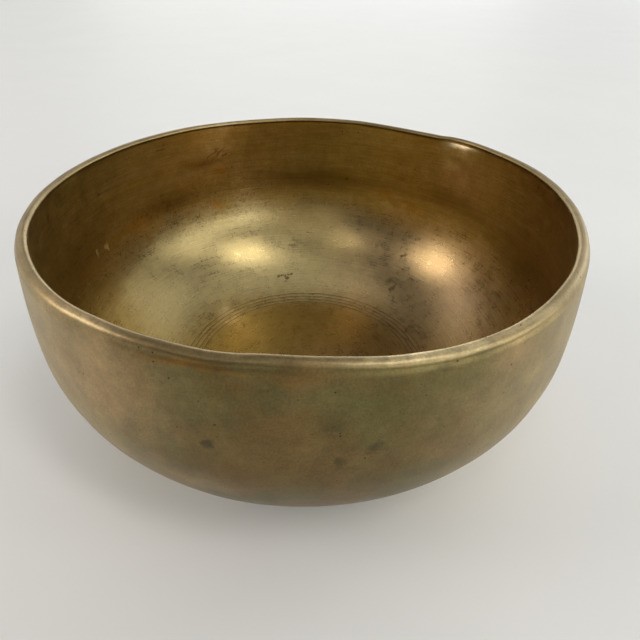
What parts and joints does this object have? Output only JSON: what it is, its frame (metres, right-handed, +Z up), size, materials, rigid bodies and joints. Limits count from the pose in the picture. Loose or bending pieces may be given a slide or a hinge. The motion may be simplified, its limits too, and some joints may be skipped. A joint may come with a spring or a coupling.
{
  "type": "singing bowl",
  "caption": "Small hand-beaten bell-metal singing bowl: rounded wall, slightly thickened uneven lip, turned rings on the inner floor and a flat base to stand on.",
  "frame": {"origin": "centre of the flat base, on the surface that the bowl stands on", "axes": "+Z up through the open mouth, -Y to the front, +X to the right"},
  "size_m": [0.1281, 0.1283, 0.0576],
  "materials": {
    "bell_metal": "old beaten bell metal, satin and darkened, with fine turning marks inside and a lip rubbed brighter"
  },
  "bodies": {
    "root": {"bowl": "bell_metal"}
  },
  "joints": []
}
